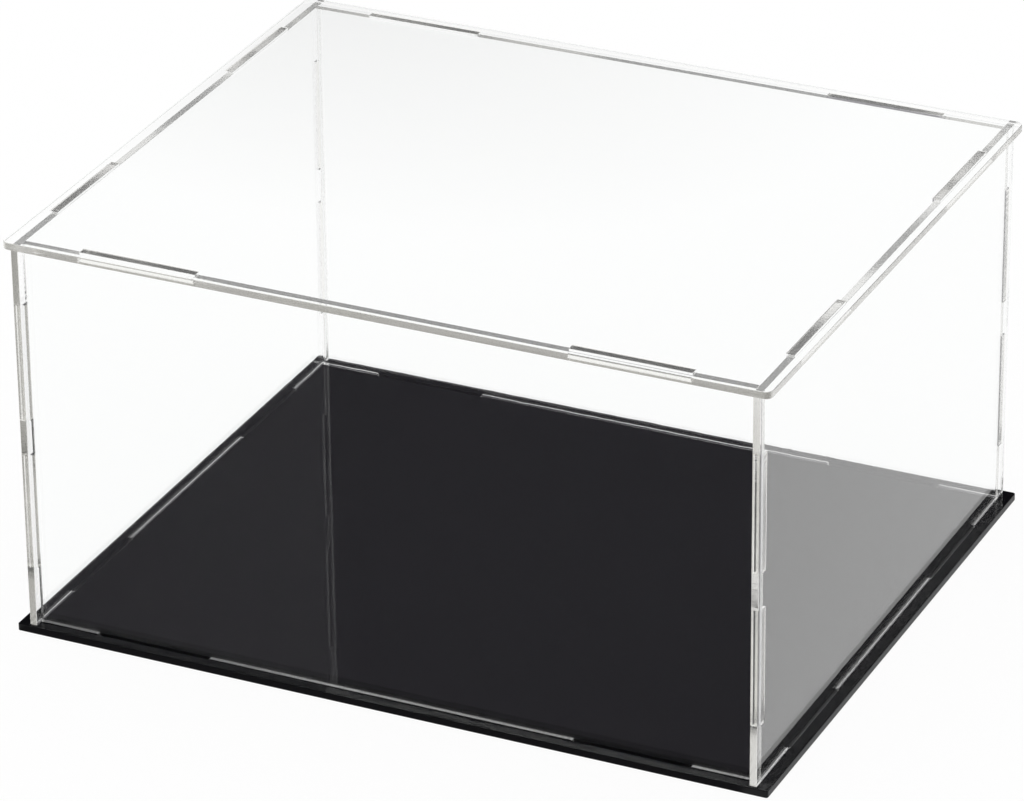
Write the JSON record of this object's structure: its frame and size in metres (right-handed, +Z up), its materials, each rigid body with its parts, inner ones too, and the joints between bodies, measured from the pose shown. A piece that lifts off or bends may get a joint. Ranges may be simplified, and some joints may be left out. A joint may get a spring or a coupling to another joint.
{
  "type": "acrylic display case",
  "caption": "Clear rectangular display case of flat sheets slotted together, with a gloss black base and a lift-off lid and walls.",
  "frame": {"origin": "middle of the base panel's underside, on the surface that the case stands on", "axes": "+X along the long side, +Y from the front wall to the back wall, +Z up"},
  "size_m": [0.322, 0.264, 0.17],
  "materials": {
    "black_acrylic": "polished opaque black cast acrylic sheet",
    "clear_acrylic": "polished clear cast acrylic sheet with laser-cut edges"
  },
  "bodies": {
    "base": {"base_panel": "black_acrylic"},
    "walls": {"front_wall": "clear_acrylic", "back_wall": "clear_acrylic", "left_wall": "clear_acrylic", "right_wall": "clear_acrylic"},
    "lid": {"lid_panel": "clear_acrylic"}
  },
  "joints": [
    {"name": "cover_lift", "type": "slide", "parent": "base", "child": "walls", "axis": [0, 0, 1], "range_m": [0, 0.2]},
    {"name": "lid_lift", "type": "slide", "parent": "walls", "child": "lid", "axis": [0, 0, 1], "range_m": [0, 0.08]}
  ]
}
